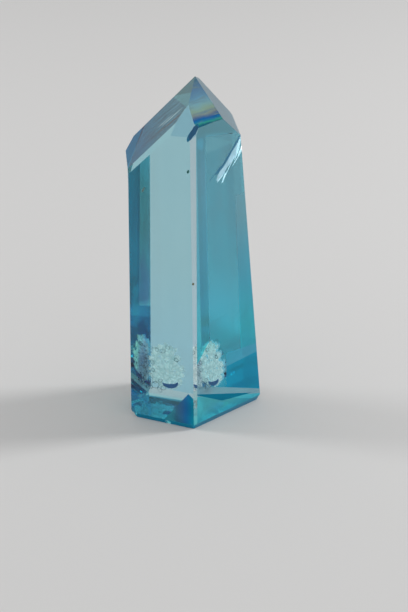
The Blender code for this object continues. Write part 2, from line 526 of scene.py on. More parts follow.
# Strips with a skin of their own, heavier coating in most and painted sheen or painted light in some: name,
# face, borders, share of metal, and one colour or
# colours by height. A border is two points on the face and which side of them is dressed:
# across and up on a wall, x and z on the left tip face. A later strip lies over earlier ones.
STRIPS = (
    # Painted sheen: metal along the left edge of the front right wall that lightens the stone seen there
    ("skin_edge_painted_sheen", ON_RIGHT, (((-3.62, 13.0), (-4.0, 60.0), -1), ((-5.6, 15.9), (-3.6, 18.2), 1)), 0.4, (
        (0.0, 0.06, 0.6, 0.8), (0.24, 0.05, 0.84, 1.0), (0.34, 0.12, 0.85, 1.0), (0.6, 0.2, 0.8, 1.0),
        (0.8, 0.26, 0.78, 0.95), (0.88, 0.28, 0.74, 0.9), (1.0, 0.22, 0.66, 0.78),
    )),
    ("skin_far_edge", ON_RIGHT, (((5.15, 17.7), (4.2, 45.6), 1), ((0.0, 46.5), (1.0, 46.5), -1)), 0.38, (
        (0.0, 0.05, 0.9, 1.0), (0.3, 0.06, 0.88, 1.0), (0.45, 0.12, 0.74, 0.95), (0.58, 0.2, 0.72, 0.9),
        (0.7, 0.33, 0.69, 0.78), (1.0, 0.36, 0.69, 0.76),
    )),
    ("skin_wedge", ON_RIGHT, (
        ((1.1, 13.9), (8.0, 13.4), -1), ((1.1, 0.0), (1.1, 1.0), 1),
    ), 0.45, (0.12, 0.74, 0.98)),
    ("skin_lower_right", ON_RIGHT, (((1.0, 11.0), (9.8, 11.3), -1), ((1.1, 0.0), (1.1, 1.0), 1)), 0.62, (
        (0.0, 0.0, 0.46, 0.74), (0.1, 0.0, 0.48, 0.76), (0.16, 0.004, 0.5, 0.76), (1.0, 0.01, 0.5, 0.76),
    )),
    # Painted sheen: metal along the top of the front right wall that lifts a darker patch there
    ("skin_brow_painted_sheen", ON_RIGHT, (((-4.0, 60.4), (5.6, 59.2), 1),), 0.5, (0.2, 0.54, 0.64)),
    ("skin_thin", ON_RIGHT, (((-5.6, 8.9), (8.0, 3.7), -1),), 0.0, (1.0, 1.0, 1.0)),
    # Painted light: this metal's colour is raised to make up for the shaded floor that it mirrors
    ("skin_low", ON_RIGHT, (((-5.6, 6.6), (6.5, 2.9), -1),), 0.6, (
        (0.0, 0.06, 0.66, 0.86), (0.03, 0.08, 0.74, 0.92), (0.06, 0.14, 0.9, 1.0),
    )),
    ("skin_low_dark", ON_RIGHT, (
        ((-5.8, 7.2), (7.0, 3.0), -1), ((-5.6, 6.6), (-0.2, 3.8), 1), ((-0.2, 3.8), (7.2, 2.7), 1),
    ), 0.9, (0.0, 0.28, 0.46)),
    ("skin_low_left", ON_LEFT, (((-6.0, 5.6), (3.6, 6.1), -1),), 0.22, (
        (0.0, 0.12, 0.6, 0.8), (1.0, 0.16, 0.6, 0.8),
    )),
    ("skin_bevel_low", ON_BEVEL, (((-1.0, 4.7), (1.0, 4.7), -1),), 0.6, (
        (0.0, 0.1, 0.6, 0.7), (0.03, 0.2, 0.78, 0.82), (0.065, 0.3, 0.85, 0.9), (1.0, 0.4, 0.9, 0.95),
    )),
    ("skin_bevel_foot", ON_BEVEL, (((-1.0, 8.6), (1.0, 8.6), -1), ((-1.0, 4.7), (1.0, 4.7), 1)), 0.35, (
        (0.0, 0.7, 1.0, 0.95), (1.0, 0.75, 1.0, 0.98),
    )),
    ("skin_tip_corner", FACE_LEFT, (((-10.04, 58.75), (-12.76, 52.74), -1),), 0.4, (
        (0.0, 0.12, 0.6, 1.0), (1.0, 0.12, 0.58, 0.96),
    )),
    # Painted sheen: metal next to the tip that lightens it
    ("skin_tip_painted_sheen", FACE_LEFT, (((-3.9, 65.6), (-0.4, 66.1), 1),), 0.55, (
        (0.0, 0.4, 0.66, 0.66), (1.0, 0.34, 0.62, 0.64),
    )),
)
# A dense stain low on the front left wall: borders, share of metal and roughness, and across
# the wall its colours from violet and deep blue to green at the front edge
STAIN_BORDERS = (((3.25, 7.73), (0.7, 4.56), 1), ((3.25, 7.73), (5.1, 6.13), -1))
STAIN_SKIN = (0.8, 0.2)
STAIN_LIMITS = (-1.4, 4.9)
STAIN_COLORS = (
    (0.0, 0.06, 0.4, 0.52), (0.2, 0.06, 0.34, 0.44), (0.33, 0.06, 0.21, 0.34), (0.5, 0.045, 0.18, 0.38),
    (0.65, 0.012, 0.18, 0.46), (0.8, 0.0, 0.24, 0.46), (0.93, 0.0, 0.34, 0.46), (1.0, 0.04, 0.5, 0.48),
)


def border(look, a, b, side):
    """A line on a face: a point of it, and the way to its wanted side."""
    if look == FACE_LEFT:
        a, b = (face_point(FACE_LEFT, LEFT_REACH, *p) for p in (a, b))
    else:
        walls = {wall_look(w): w for w in WALLS}
        a, b = (wall_point(walls[look], *p, 0) for p in (a, b))
    way = facing(*look).cross((b - a).normalized())
    if (way.x if abs(way.x) > abs(way.z) else way.z) * side < 0:
        way = -way
    return a, way


# ---------------- the stone
# Size of the block that the point is sawn from, in metres
BLOCK = 0.16


def shape_point():
    """A block sawn down to the natural faces, still with sharp edges."""
    deselect()
    bpy.ops.mesh.primitive_cube_add(size=BLOCK, location=(0, 0, 0))
    stone = bpy.context.object
    stone.name = stone.data.name = "quartz_point"
    edit(stone)
    saw((0, 0, 0), -UP)
    for angle, lean, reach in WALLS:
        saw(facing(angle, 90) * reach * MM, facing(angle, 90 - lean))
    for (angle, lean, reach), inset, rise in FOOT_BEVELS:
        flat = facing(angle, 90)
        low = flat * (reach - inset) * MM
        high = flat * (reach - rise * tan(radians(lean))) * MM + UP * rise * MM
        climb = (high - low).normalized()
        saw(low, (flat - climb * flat.dot(climb)).normalized())
    for look in (FACE_LEFT, FACE_FRONT_RIGHT, FACE_RIGHT, FACE_BACK_LEFT):
        saw(Vector(TIP) * MM, facing(*look))
    for angle, slope, distance in (FACE_BACK, FACE_FRONT_TRIANGLE, FACE_SHOULDER_BAND, FACE_CREST):
        saw(facing(angle, slope) * distance * MM, facing(angle, slope))
    weld(WELD_SAWN)
    return stone


def brow_tool():
    """The long prism that sets the lower part of the left wall in."""
    angle, lean, reach = WALL_LEFT_LOW
    flat = facing(angle, 90)
    level = UP.cross(flat)
    slant = tan(radians(lean))
    # past the stone on every side; the profile is outwards and up
    below, far, half = -5, 20, 30
    profile = (
        (reach - below * slant, below), (far, below), (far, BROW_HIGH), (reach + BROW_STEP, BROW_HIGH),
        (reach - BROW_LOW * slant, BROW_LOW),
    )
    deselect()
    bpy.ops.mesh.primitive_cylinder_add(vertices=len(profile), radius=1, depth=1)
    tool = bpy.context.object
    for i, v in enumerate(sorted(tool.data.vertices, key=lambda v: (v.co.z > 0, v.index))):
        a, b = profile[i % len(profile)]
        v.co = (flat * a + UP * b + level * (half if v.co.z > 0 else -half)) * MM
    point_out(tool)
    return tool


def ledge_tool(ledge):
    """The slab that steps the left tip face in beyond a line."""
    distance, turn, depth, run_out = ledge
    out = facing(*FACE_LEFT)
    level = UP.cross(out).normalized()
    swing = Matrix.Rotation(radians(turn), 3, out)
    line = swing @ level
    climb = swing @ out.cross(level).normalized()
    tilt = Matrix.Rotation(atan2(depth, run_out), 3, climb)
    # past the face on every side
    tall, thick, wide = 60, 20, 80
    u, v, w = climb * tall, tilt @ out * thick, tilt @ line * wide
    corner = Vector(TIP) - climb * distance - out * depth
    deselect()
    bpy.ops.mesh.primitive_cube_add(size=1, location=(0, 0, 0))
    tool = bpy.context.object
    for p in tool.data.vertices:
        p.co = (corner + u * (p.co.x + 0.5) + v * (p.co.y + 0.5) + w * p.co.z) * MM
    point_out(tool)
    return tool


def foot_looks(walls):
    """Facing of each foot bevel under these walls."""
    for wall, inset, rise in FOOT_BEVELS:
        if wall in walls:
            fall = degrees(atan2(inset - rise * tan(radians(wall[1])), rise))
            yield wall[0], 90 + fall


def like(look):
    """A test for the faces that point one way."""
    out = facing(*look)
    return lambda p: p.normal.dot(out) > SAME_FACING


def dress(piece, material, chosen):
    """Give the chosen faces a material of their own."""
    names = [m.name for m in piece.data.materials]
    if material.name not in names:
        piece.data.materials.append(material)
        names.append(material.name)
    for p in piece.data.polygons:
        if chosen(p):
            p.material_index = names.index(material.name)


def dress_strip(stone, material, look, borders):
    """Cut a face along the borders of a strip, and dress the strip."""
    on_face = like(look)
    lines = [border(look, *line) for line in borders]
    for point, way in lines:
        only(stone)
        for p in stone.data.polygons:
            p.select = on_face(p)
        bpy.ops.object.mode_set(mode="EDIT")
        bpy.ops.mesh.select_mode(type="FACE")
        bpy.ops.mesh.bisect(plane_co=point, plane_no=way, use_fill=False, threshold=CUT_SNAP)
        done_editing()
    dress(stone, material, lambda p: on_face(p) and all((p.center - a).dot(w) > 0 for a, w in lines))


def build_stone(edge_round):
    stone = shape_point()
    bite(stone, brow_tool())
    edit(stone)
    bpy.ops.mesh.bevel(
        offset=edge_round, offset_type="OFFSET", segments=2, affect="EDGES", clamp_overlap=True,
    )
    weld(WELD_ROUNDED)
    for ledge in LEDGES:
        bite(stone, ledge_tool(ledge))
    for centre, radii in CHIPS:
        deselect()
        bpy.ops.mesh.primitive_ico_sphere_add(subdivisions=3, radius=MM, location=Vector(centre) * MM)
        tool = bpy.context.object
        tool.scale = radii
        bite(stone, tool)
    stone.data.materials.clear()
    stone.data.materials.append(quartz_material("clear_quartz")[0])
    foot = skin_material("skin_foot", *SKIN_FOOT)
    skins = [
        (skin_left(), FACE_LEFT), (skin_front_right(), FACE_FRONT_RIGHT),
        (skin_material("skin_right", *SKIN_RIGHT), FACE_RIGHT),
    ]
    skins += [(foot, look) for look in foot_looks((WALL_FRONT_LEFT, WALL_FRONT_RIGHT, WALL_FRONT_BEVEL))]
    for material, look in skins:
        dress(stone, material, like(look))
    for name, look, borders, metal, tint in STRIPS:
        dress_strip(stone, skin_material(name, tint, metal), look, borders)
    across = UP.cross(facing(WALL_FRONT_LEFT[0], 90))
    stain = skin_material("skin_stain", STAIN_COLORS, *STAIN_SKIN, across, STAIN_LIMITS)
    dress_strip(stone, stain, ON_LEFT, STAIN_BORDERS)
    keep(stone)
    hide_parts(CAD_NODE)
    return stone


# ---------------- the film under the surface
FILM_IOR = 1.0
# Films of one colour: name, facing, colour of one crossing
FILMS = (
    ("film_bevel", ON_BEVEL, (0.95, 0.93, 0.96)),
    ("film_crest", FACE_CREST[:2], (0.6, 0.78, 0.9)),
    ("film_triangle", FACE_FRONT_TRIANGLE[:2], (0.5, 0.74, 0.84)),
    ("film_shoulder", FACE_SHOULDER_BAND[:2], (0.66, 0.9, 0.94)),
)
# The film on the two left walls: colours by height, bluer towards the foot, its clouds (scale,
# stretch, low, high) and their duller colours
LEFT_FILM = ((
    (0.0, 0.03, 1.0, 1.0), (0.14, 0.05, 0.96, 1.0), (0.28, 0.12, 0.8, 0.93), (0.47, 0.16, 0.7, 0.84),
    (0.77, 0.23, 0.57, 0.67), (1.0, 0.25, 0.53, 0.62),
), (130.0, 0.5, 0.45, 0.7), (
    (0.0, 0.03, 0.88, 0.98), (0.17, 0.08, 0.84, 0.94), (0.47, 0.22, 0.62, 0.74), (0.77, 0.3, 0.5, 0.57),
    (1.0, 0.28, 0.5, 0.58),
))
# Films whose colour changes with height: name, facing, colours, clouds and their colours
TALL_FILMS = (
    ("film_front_right", ON_RIGHT, (
        (0.25, 0.46, 0.82, 0.92), (0.285, 0.38, 0.98, 1.0), (0.4, 0.42, 0.86, 0.95), (0.55, 0.44, 0.75, 0.82),
        (0.7, 0.44, 0.75, 0.82), (0.82, 0.42, 0.8, 0.89), (1.0, 0.42, 0.78, 0.86),
    ), None, None),
    ("film_back", wall_look(WALL_BACK), (
        (0.0, 0.41, 0.79, 0.95), (0.22, 0.42, 0.8, 0.96),
        (0.35, 0.435, 0.77, 0.87), (0.5, 0.442, 0.748, 0.819),
    ), (150.0, 0.25, 0.35, 0.7), (
        (0.0, 0.39, 0.76, 0.92), (0.22, 0.4, 0.77, 0.92), (0.5, 0.41, 0.722, 0.8),
    )),
    ("film_left", wall_look(WALL_LEFT), *LEFT_FILM),
    ("film_left_low", wall_look(WALL_LEFT_LOW), *LEFT_FILM),
)
# The film over the back foot bevel, by height: pale, denser in red at the very foot, where it lets green and
# blue through almost whole as painted light that lifts the contact shadow seen through the bevel
BACK_BEVEL_LIMITS = (0.0, 2.0)
BACK_BEVEL_COLORS_WITH_PAINTED_LIGHT = (
    (0.0, 0.36, 0.96, 1.0), (0.28, 0.46, 0.96, 1.0), (0.42, 0.62, 0.76, 0.8), (1.0, 0.7, 0.84, 0.86),
)
# The patch in the film under the foot: its colours by x, its middle in the squashed space that
# makes it long, and the distances in metres from there at which it begins and is full
PATCH_LIMITS = (-4.0, 4.5)
PATCH_COLORS = (
    (0.0, 0.25, 0.6, 0.7), (0.25, 0.2, 0.16, 0.34), (0.42, 0.12, 0.1, 0.34), (0.62, 0.01, 0.16, 0.5),
    (0.76, 0.01, 0.3, 0.55), (0.86, 0.05, 0.55, 0.3), (0.93, 0.1, 0.6, 0.35), (1.0, 0.1, 0.5, 0.55),
)
PATCH_SQUASH = (1.5, 0.75, 1.0)
PATCH_MIDDLE = (0.0013, 0.0036, 0.0)
PATCH_REACH = (0.0065, 0.0035)
# The back left wall by height: between its clouds, on them, and past its outer rim
CALM_BACK_LEFT = (
    (0.0, 0.7, 0.9, 0.95), (0.04, 0.5, 0.72, 0.8), (0.08, 0.21, 0.33, 0.46), (0.15, 0.2, 0.33, 0.47),
    (0.22, 0.42, 0.76, 0.82), (0.34, 0.44, 0.9, 0.9), (0.37, 0.22, 0.46, 0.58), (0.42, 0.2, 0.44, 0.56),
    (0.62, 0.26, 0.56, 0.56), (0.78, 0.2, 0.58, 0.6), (1.0, 0.3, 0.8, 0.9),
)
DULL_BACK_LEFT = (
    (0.0, 0.6, 0.85, 0.9), (0.04, 0.4, 0.6, 0.66), (0.08, 0.18, 0.28, 0.35), (0.15, 0.19, 0.26, 0.4),
    (0.22, 0.46, 0.62, 0.78), (0.34, 0.5, 0.66, 0.84), (0.37, 0.28, 0.36, 0.54), (0.42, 0.3, 0.36, 0.56),
    (0.62, 0.24, 0.46, 0.46), (0.78, 0.2, 0.52, 0.52), (1.0, 0.3, 0.76, 0.84),
)
OUTER_BACK_LEFT = (
    (0.0, 0.7, 0.9, 0.95), (0.1, 0.34, 0.62, 0.6), (0.2, 0.5, 1.0, 0.84), (0.34, 0.55, 1.0, 0.88),
    (0.37, 0.46, 0.66, 0.66), (0.6, 0.52, 1.0, 0.95), (0.75, 0.28, 0.98, 1.0), (1.0, 0.3, 1.0, 1.0),
)
# Across the back left wall: where the outer colours and the pale ones begin and are full,
# and their share there
OUTER_LIMITS = (0.6, 2.0)
OUTER_SHARE = 0.85
PALE_LIMITS = (-0.5, -4.5)
PALE_SHARE = 0.42
PALE = (0.75, 0.9, 0.93)


def film_material(name, color, second=None):
    """The metal film: it only tints what crosses it, so light loses colour at each inner reflection."""
    thin = tuple(c * c for c in color)
    m, t, _ = clear_material(name, FILM_IOR, thin)
    if second is None:
        return m
    cloud = mottle(t, 150.0, 0.25, 0.35, 0.7)
    return painted(m, mix_color(t, cloud, thin, tuple(c * c for c in second)))


def tall_film(name, calm, clouds=None, dull=None, limits=FOOT_TO_BROW):
    """A film whose colour changes with height, with clouds of a second set of colours."""
    m, t, _ = clear_material(name, FILM_IOR)
    tall = along(t, UP)
    tint = ramp(t, tall, *limits, calm)
    if clouds:
        tint = mix_color(t, mottle(t, *clouds), tint, ramp(t, tall, *limits, dull))
    return painted(m, tint)


def film_foot():
    """The film under the foot: mottled teal with a patch that runs from violet to green."""
    m, t, _ = clear_material("film_foot", FILM_IOR)
    teal = mix_color(t, mottle(t, 260.0, 1.0, 0.35, 0.62), (0.16, 0.76, 0.86), (0.34, 0.88, 0.94))
    patch = ramp(t, along(t, (1, 0, 0)), *PATCH_LIMITS, PATCH_COLORS)
    squash = add(t, "VectorMath", "MULTIPLY")
    squash.inputs[1].default_value = PATCH_SQUASH
    from_patch = add(t, "VectorMath", "DISTANCE")
    from_patch.inputs[1].default_value = PATCH_MIDDLE
    t.links.new(object_place(t), squash.inputs[0])
    t.links.new(squash.outputs[0], from_patch.inputs[0])
    inside = span(t, from_patch.outputs["Value"], *PATCH_REACH, smooth=True)
    return painted(m, mix_color(t, inside, teal, patch))


def film_back_left():
    """The back left wall: teal at the top, greener in the middle, violet low down, all mottled."""
    m, t, _ = clear_material("film_back_left", FILM_IOR)
    tall = along(t, UP)
    across = along(t, UP.cross(facing(WALL_BACK_LEFT[0], 90)))
    calm = ramp(t, tall, *FOOT_TO_BROW, CALM_BACK_LEFT)
    dull = ramp(t, tall, *FOOT_TO_BROW, DULL_BACK_LEFT)
    outer = ramp(t, tall, *FOOT_TO_BROW, OUTER_BACK_LEFT)
    cloud = mix_color(t, mottle(t, 300.0, 0.3, 0.44, 0.58), calm, dull)
    rim = span(t, across, *OUTER_LIMITS, smooth=True, To_Max=OUTER_SHARE)
    wide = mix_color(t, rim, cloud, outer)
    edge = span(t, across, *PALE_LIMITS, To_Max=PALE_SHARE)
    return painted(m, mix_color(t, edge, wide, PALE))


def build_film(depth):
    """A shell just under the surface that tints each crossing."""
    only(bpy.data.objects["quartz_point"])
    bpy.ops.object.duplicate()
    shell = bpy.context.object
    shell.name = shell.data.name = "aura_film"
    for key in list(shell.keys()):
        del shell[key]
    shell.parent = None
    edit(shell)
    bpy.ops.transform.shrink_fatten(value=-depth, use_even_offset=True)
    done_editing()
    stone = bpy.context.scene.crystal_stone
    shell.data.materials.clear()
    shell.data.materials.append(film_material("film_walls", stone.film_color, stone.film_color_second))
    looks = [(film_material(name, color), look) for name, look, color in FILMS]
    looks += [(film_foot(), (0.0, 180.0)), (film_back_left(), wall_look(WALL_BACK_LEFT))]
    looks += [(tall_film(name, *tint), look) for name, look, *tint in TALL_FILMS]
    back = tall_film("film_back_bevel", BACK_BEVEL_COLORS_WITH_PAINTED_LIGHT, limits=BACK_BEVEL_LIMITS)
    looks += [(back, look) for look in foot_looks((WALL_BACK,))]
    for material, look in looks:
        dress(shell, material, like(look))
    return keep(shell)


# ---------------- what is grown inside
def inner_material(name, color, roughness, alpha=1.0, painted_glow=None):
    """A body inside the stone; its glow is painted light, an emission that stands in for the light reaching
    it through the stone.
    """
    m, _, b = new_material(name)
    fill(b, Base_Color=(*color, 1), Roughness=roughness, Alpha=alpha)
    # Painted light: the body glows though it is no lamp
    if painted_glow:
        fill(b, Emission_Color=(*painted_glow, 1), Emission_Strength=1.0)
    return m


# Painted light on the veil's scales, an emission from their seams to their middles: dimmer at the seams as
# painted shade between the scales
VEIL_PAINTED_GLOW = ((0.0, 0.3, 0.41, 0.41), (0.3, 0.44, 0.54, 0.53), (1.0, 0.52, 0.6, 0.58))
# The veil's middle on the back wall, across and up, and its half width and half height
VEIL_MIDDLE = (5.9, 7.3)
VEIL_REACH = (3.9, 4.8)


def veil_material():
    """Milky scales in painted light, an emission that stands in for the light held in the stone, dimmer at
    the seams as painted shade between them.
    """
    m, t, b = new_material("veil_milk")
    milk = bpy.context.scene.crystal_growth.veil_color
    fill(b, Base_Color=(*milk, 1), Roughness=0.35, Emission_Strength=0.72)
    cells = add(t, "TexVoronoi")
    cells.feature = "DISTANCE_TO_EDGE"
    fill(cells, Scale=900.0)
    t.links.new(object_place(t), cells.inputs["Vector"])
    # Painted light, dimmer at the seams as painted shade between the scales
    t.links.new(ramp(t, cells.outputs["Distance"], 0.0, 0.3, VEIL_PAINTED_GLOW), b.inputs["Emission Color"])
    cloud = mottle(t, 700.0, 1.0, 0.35, 0.6)
    t.links.new(span(t, cloud, 0.0, 1.0, To_Min=0.4, To_Max=0.85), b.inputs["Alpha"])
    return m


def build_veil(count, seed):
    """The milky patch of scales on the inside of the back wall, near the foot."""
    rng = random.Random(seed)
    places = []
    while len(places) < count:
        a, h = rng.uniform(-1, 1), rng.uniform(-1, 1)
        if a * a + h * h > 1.0:
            continue
        big = rng.uniform(0.4, 1.05) * (1.25 - 0.5 * hypot(a, h))
        across, up = (m + reach * share for m, reach, share in zip(VEIL_MIDDLE, VEIL_REACH, (a, h)))
        place = (across, up, rng.uniform(0.25, 0.6))
        size = (big, big * rng.uniform(0.6, 0.9), rng.uniform(0.05, 0.12))
        places.append(laid(WALL_BACK, place, rng.uniform(0, pi), size))
    keep(join(grains(places, seed, 0.12, 2), "veil_scales"), veil_material(), 40)


# Bubbles by the veil: across and height on the back wall, radius
BUBBLES = (
    (3.48, 9.39, 0.45), (6.45, 10.95, 0.5), (7.62, 11.04, 0.35), (2.2, 7.4, 0.3), (8.9, 10.2, 0.3),
    (9.6, 7.6, 0.45), (9.8, 5.4, 0.4), (8.4, 3.6, 0.5), (7.3, 2.4, 0.45), (9.3, 2.0, 0.35),
    (4.4, 6.9, 0.3), (5.8, 8.6, 0.35), (3.1, 4.9, 0.3), (6.6, 5.9, 0.25), (4.31, 5.6, 0.2),
)
BUBBLE_DEPTH = 0.75
BUBBLE_FLAT = 0.6
AIR_IN_QUARTZ = 1.0 / 1.2
# Healed loops: across and height on the back wall, radius
LOOPS = (
    (9.7, 6.2, 0.75), (9.0, 4.9, 0.6), (8.1, 3.0, 0.85), (7.2, 1.9, 0.6), (9.4, 2.5, 0.7),
    (6.3, 2.6, 0.55), (8.8, 8.0, 0.5), (7.0, 4.1, 0.45), (9.9, 9.2, 0.4), (3.48, 9.39, 0.5),
    (6.45, 10.95, 0.6), (7.7, 11.1, 0.4), (10.1, 3.6, 0.45), (8.6, 6.3, 0.4), (5.3, 12.0, 0.45),
    (9.0, 11.2, 0.4),
)
LOOP_WIRE = 0.05
LOOP_DEPTH = 1.1
LOOP_LAYERS = 3
LOOP_LAYER = 0.15
# Painted light on the loops: a faint emission
LOOP_PAINTED_GLOW = (0.01, 0.05, 0.06)
# The crescent hollow, a dark body that paints its shade: the lens and the one bitten out of it (start, end,
# width, thickness)
HOLLOW = ((6.7, 3.5), (3.1, 4.1), 2.3, 0.12)
HOLLOW_BITE = ((7.6, 4.3), (2.9, 4.9), 2.1, 0.8)
HOLLOW_DEPTH = 0.9
# Painted light on the dark crescent: a faint blue emission
HOLLOW_PAINTED_GLOW = (0.005, 0.05, 0.13)


def build_bubbles(seed):
    """Flattened bubbles of air beside the veil."""
    rng = random.Random(seed)
    places = []
    for across, height, radius in BUBBLES:
        size = (radius, radius * rng.uniform(0.85, 1.1), radius * BUBBLE_FLAT)
        places.append(laid(WALL_BACK, (across, height, radius * BUBBLE_FLAT + BUBBLE_DEPTH), size=size))
    air = clear_material("air_in_quartz", AIR_IN_QUARTZ)[0]
    keep(join(grains(places, seed, 0.03, 4), "veil_bubbles"), air, 60)


def build_loops(seed):
    """Hair-thin rings where a film of bubbles has healed over."""
    rng = random.Random(seed)
    rings = []
    for i, (across, height, radius) in enumerate(LOOPS):
        deselect()
        bpy.ops.mesh.primitive_torus_add(
            major_radius=radius * MM, minor_radius=LOOP_WIRE * MM, major_segments=28, minor_segments=6,
            location=(0, 0, 0),
        )
        loop = bpy.context.object
        edit(loop)
        bpy.ops.transform.resize(value=(1.0, rng.uniform(0.5, 0.95), 1.0))
        done_editing()
        place = (across, height, LOOP_DEPTH + LOOP_LAYER * (i % LOOP_LAYERS))
        tip = Matrix.Rotation(rng.uniform(-0.3, 0.3), 4, "X")
        loop.matrix_world = laid(WALL_BACK, place, rng.uniform(0, pi)) @ tip
        settle(loop)
        rings.append(loop)
    color = bpy.context.scene.crystal_growth.hair_color
    keep(join(rings, "veil_loops"), inner_material("healed_hair", color, 0.4, 1.0, LOOP_PAINTED_GLOW), 60)


def build_hollow(seed):
    """The dark crescent under the veil, painted shade of a flat hollow in dark blue: one lens bitten out of
    another.
    """
    out = facing(*wall_look(WALL_BACK))
    lenses = []
    for a, b, width, thick in (HOLLOW, HOLLOW_BITE):
        a, b = (wall_point(WALL_BACK, *p, HOLLOW_DEPTH) for p in (a, b))
        lenses.append(lens(a, b, width * MM, thick * MM, out, seed, 0.02))
    body, tool = lenses
    bite(body, tool)
    body.name = body.data.name = "veil_hollow"
    color = bpy.context.scene.crystal_growth.hollow_shade_color
    keep(body, inner_material("hollow_painted_shade", color, 0.3, 1.0, HOLLOW_PAINTED_GLOW), 40)


def keep_lenses(name, table, point, out, thick, rough, seed, look):
    """One piece of thin lenses: start, end and width of each, and how a point of the table is placed."""
    parts = [
        lens(point(*a), point(*b), width * MM, thick * MM, out, seed + i, rough)
        for i, (a, b, width) in enumerate(table)
    ]
    keep(join(parts, name), inner_material(*look), 40)


# The healed crack on the front right wall: start and end (across, height), width
CRACK_DARK = (
    ((5.75, 58.6), (2.9, 55.6), 0.55), ((3.4, 56.2), (0.3, 53.0), 0.68), ((0.9, 53.7), (-1.35, 52.2), 0.75),
    ((-1.2, 52.7), (-3.1, 51.2), 0.12),
)
CRACK_HAZE = (
    ((5.5, 57.2), (2.4, 53.6), 1.5), ((3.6, 55.0), (-0.4, 51.7), 1.3), ((1.6, 53.0), (-0.9, 50.9), 1.2),
)
# Painted highlights: white glowing lenses where the crack catches the light; start and end (across, height),
# width
CRACK_PAINTED_GLINTS = (
    ((5.5, 58.0), (4.6, 55.0), 0.6), ((5.95, 56.2), (4.8, 54.2), 0.45), ((5.9, 55.3), (3.4, 52.9), 0.2),
    ((5.2, 56.0), (3.9, 53.9), 0.22), ((2.5, 52.9), (0.3, 50.2), 0.2), ((1.3, 51.9), (0.5, 50.2), 0.35),
    ((0.6, 51.6), (-0.9, 50.6), 0.14), ((3.9, 54.6), (2.2, 52.6), 0.12),
)


def build_crack(seed):
    """The healed crack that runs down from the right edge: a dark line, a haze beside it, and painted glints;
    each layer also glows with painted light.
    """
    growth = bpy.context.scene.crystal_growth
    # name, lenses, depth, thickness, unevenness, and the look: name, colour, roughness, cover, glow (painted
    # light)
    layers = (
        ("crack_line", CRACK_DARK, 0.16, 0.1, 0.05,
         ("crack_blue", growth.crack_color, 0.3, 0.8, (0.003, 0.1, 0.16))),
        ("crack_haze", CRACK_HAZE, 0.3, 0.08, 0.08,
         ("crack_lilac", growth.haze_color, 0.4, 0.6, (0.34, 0.4, 0.41))),
        ("crack_painted_glints", CRACK_PAINTED_GLINTS, 0.06, 0.06, 0.12,
         ("crack_painted_highlight", (0.95, 0.98, 1.0), 0.2, 0.8, (0.4, 0.44, 0.46))),
    )
    for name, table, depth, thick, rough, look in layers:
        keep_lenses(name, table, lambda across, up: wall_point(WALL_FRONT_RIGHT, across, up, depth),
                    facing(*ON_RIGHT), thick, rough, seed, look)


# Lines in the film: name, face, its distance from the centre, lift from the face, colour,
# cover, glow (painted light), and lenses by x and z (start, end, width)
LINES = (
    ("growth_lines_pale", FACE_LEFT, LEFT_REACH, 0.012, (0.62, 0.72, 0.74), 0.75, (0.12, 0.17, 0.17), (
        ((-6.14, 61.19), (-2.29, 65.36), 0.16), ((-6.9, 60.6), (-4.2, 63.5), 0.1),
    )),
    ("growth_lines_dark", FACE_LEFT, LEFT_REACH, 0.012, (0.25, 0.2, 0.18), 0.6, None, (
        ((-5.34, 61.55), (-2.57, 64.56), 0.36), ((-7.0, 59.9), (-5.0, 62.0), 0.16),
    )),
    ("crest_tail", FACE_CREST[:2], FACE_CREST[2], -0.05, (0.0, 0.1, 0.17), 0.95, (0.0, 0.055, 0.11), (
        ((0.8, 63.3), (-0.75, 60.9), 1.0), ((-0.1, 62.2), (-1.2, 60.4), 0.85),
    )),
)
LINE_THICK = 0.02


def build_lines(seed):
    """Growth lines on the left tip face and the dark tail below the tip's ridge."""
    for name, look, distance, lift, color, cover, painted_glow, table in LINES:
        keep_lenses(name, table, lambda x, z: face_point(look, distance, x, z, lift),
                    facing(*look), LINE_THICK, 0.08, seed, (name, color, 0.35, cover, painted_glow))


# Specks: name, wall, place (across, height, depth), size, colour, glow (painted light); the cyan one is a
# painted glint
SPECKS = (
    ("speck_green", WALL_FRONT_LEFT, (3.0, 54.23, 0.15), (0.2, 0.4, 0.1),
     (0.04, 0.16, 0.13), (0.01, 0.06, 0.05)),
    ("speck_brown", WALL_FRONT_LEFT, (4.1, 31.45, 0.15), (0.2, 0.26, 0.1),
     (0.14, 0.13, 0.05), (0.03, 0.03, 0.01)),
    # A painted glint: a bright cyan grain that glows
    ("cyan_painted_glint", WALL_BACK, (-0.95, 5.2, 0.5), (0.25, 0.3, 0.15),
     (0.1, 0.8, 0.85), (0.02, 0.6, 0.66)),
    ("film_scratch", WALL_FRONT_LEFT, (-6.46, 49.2, 0.05), (0.16, 0.6, 0.03),
     (0.3, 0.3, 0.24), (0.04, 0.08, 0.08)),
)
SPECK_ROLL = -0.5


def build_specks(seed):
    """Small uneven grains in and under the film, each with a glow of painted light; the cyan one is a painted
    glint.
    """
    for name, wall, place, size, color, painted_glow in SPECKS:
        parts = grains([laid(wall, place, SPECK_ROLL, size)], seed, 0.25, 3)
        keep(join(parts, name), inner_material(name, color, 0.6, 0.85, painted_glow), 30)


# ---------------- stage
FLOOR_SIZE = 4
FLOOR_DROP = 0.00002
# Lamps: name, compass angle from the back, height angle, size, power
LAMPS = (
    ("window_right", 78, 28, 0.18, 2.45),
    ("window_left", -78, 26, 0.2, 1.35),
)
LAMP_DISTANCE = 0.7
CAMERA_PLACE = (0.001852, -0.335378, 0.171466)
CAMERA_TILT = 66
CAMERA_LENS = 107.59
CAMERA_FILM = 36
CAMERA_NEAR = 0.01
# Light crosses the film many times before it leaves the stone
BOUNCES = {
    "max_bounces": 40, "transmission_bounces": 32, "transparent_max_bounces": 32, "glossy_bounces": 12,
}


